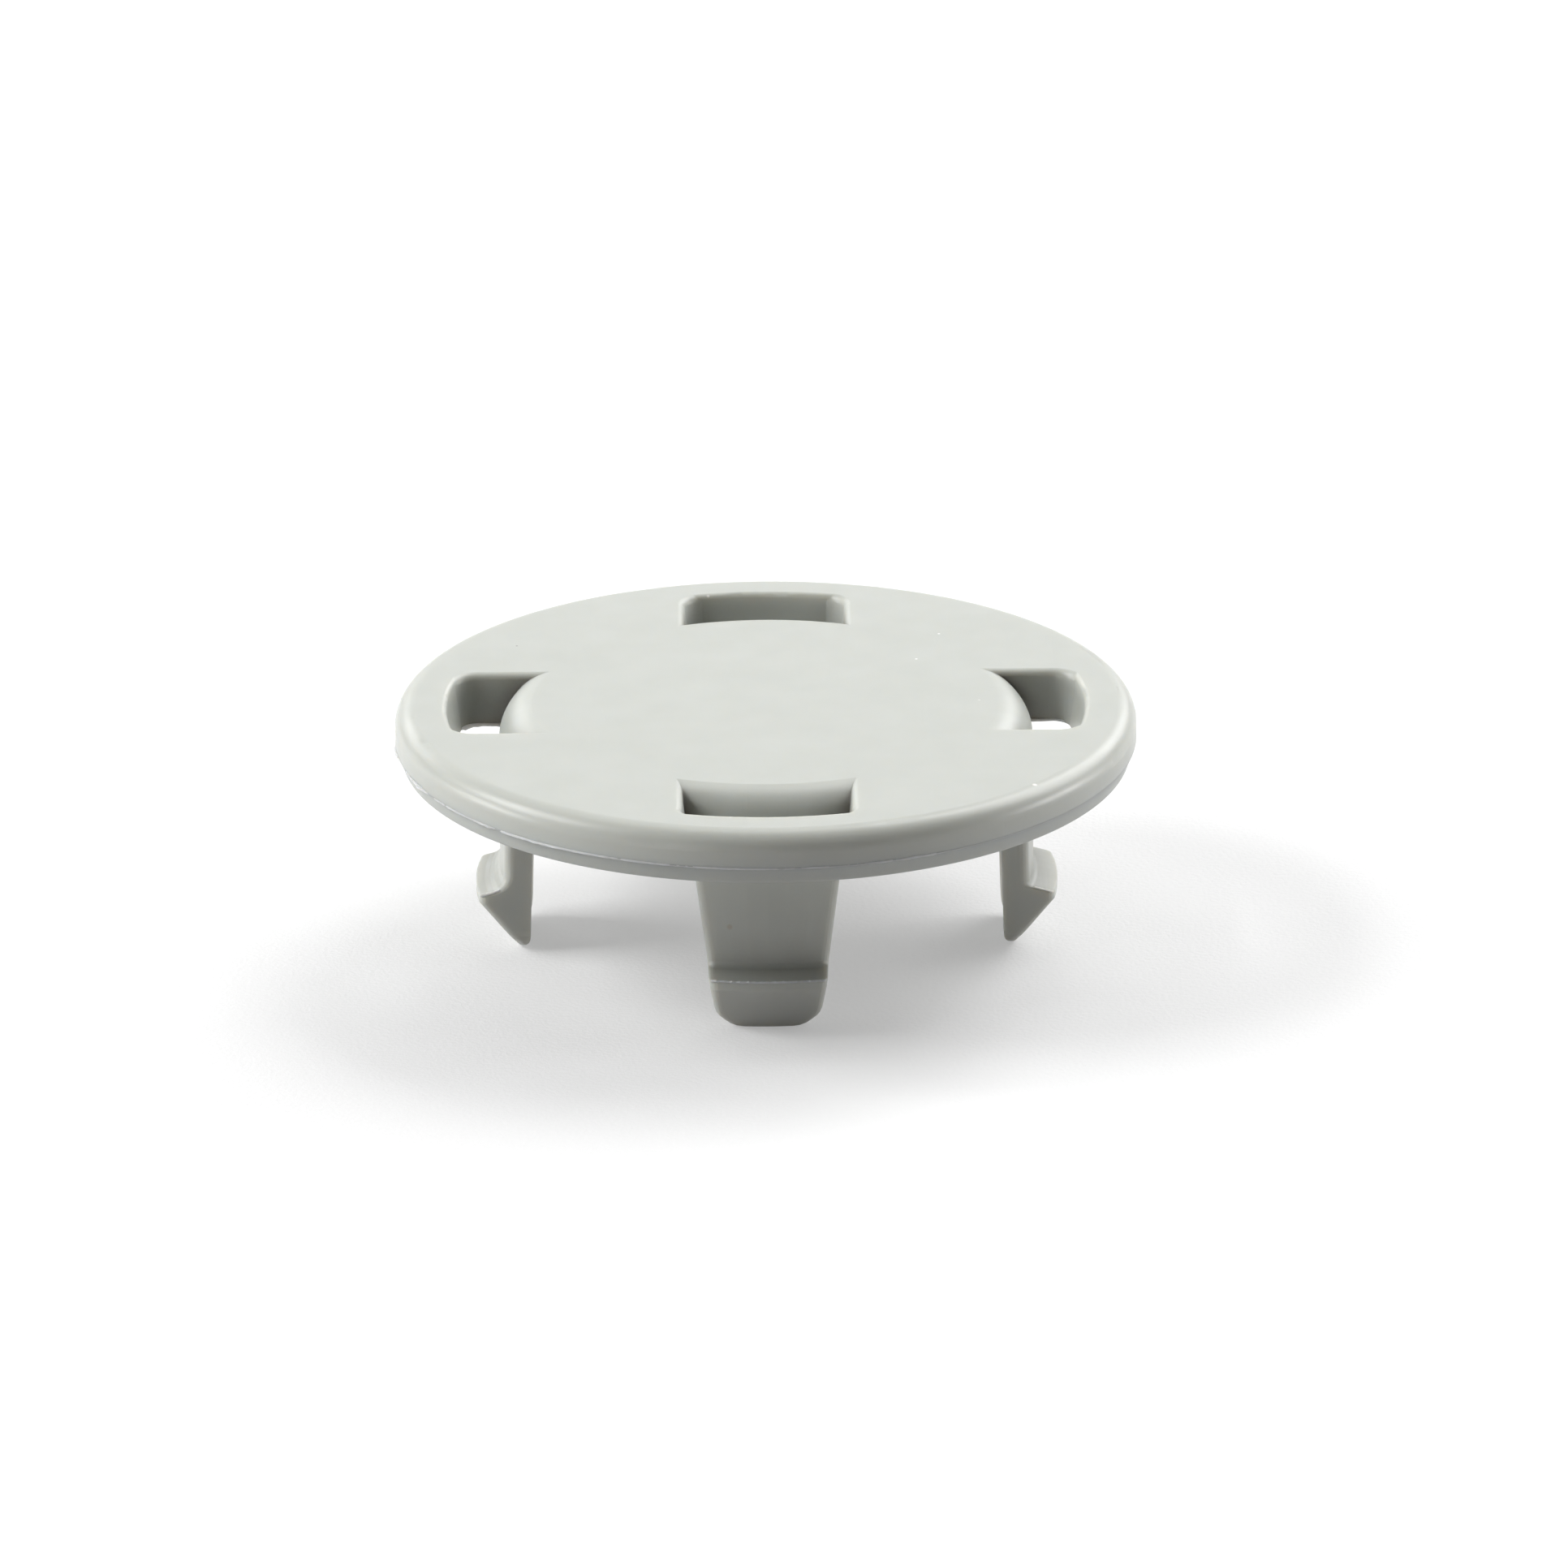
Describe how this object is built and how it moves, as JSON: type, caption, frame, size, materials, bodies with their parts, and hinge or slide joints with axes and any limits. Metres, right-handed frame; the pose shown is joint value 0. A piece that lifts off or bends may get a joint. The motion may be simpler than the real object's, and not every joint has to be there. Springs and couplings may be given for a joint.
{
  "type": "bolt hole cover",
  "caption": "Round snap-in cap that closes a bolt hole: a flat disc with a rounded edge, windows through it and a springy hook under each window.",
  "frame": {"origin": "on the axis of the disc, at the level of the hooks' toes", "axes": "+Z along the disc's axis, from the hooks towards the visible face; -Y towards the front hook"},
  "size_m": [0.038, 0.038, 0.0127],
  "materials": {
    "moulding": "moulded, with a mild sheen"
  },
  "bodies": {
    "root": {"cover": "moulding"}
  },
  "joints": []
}
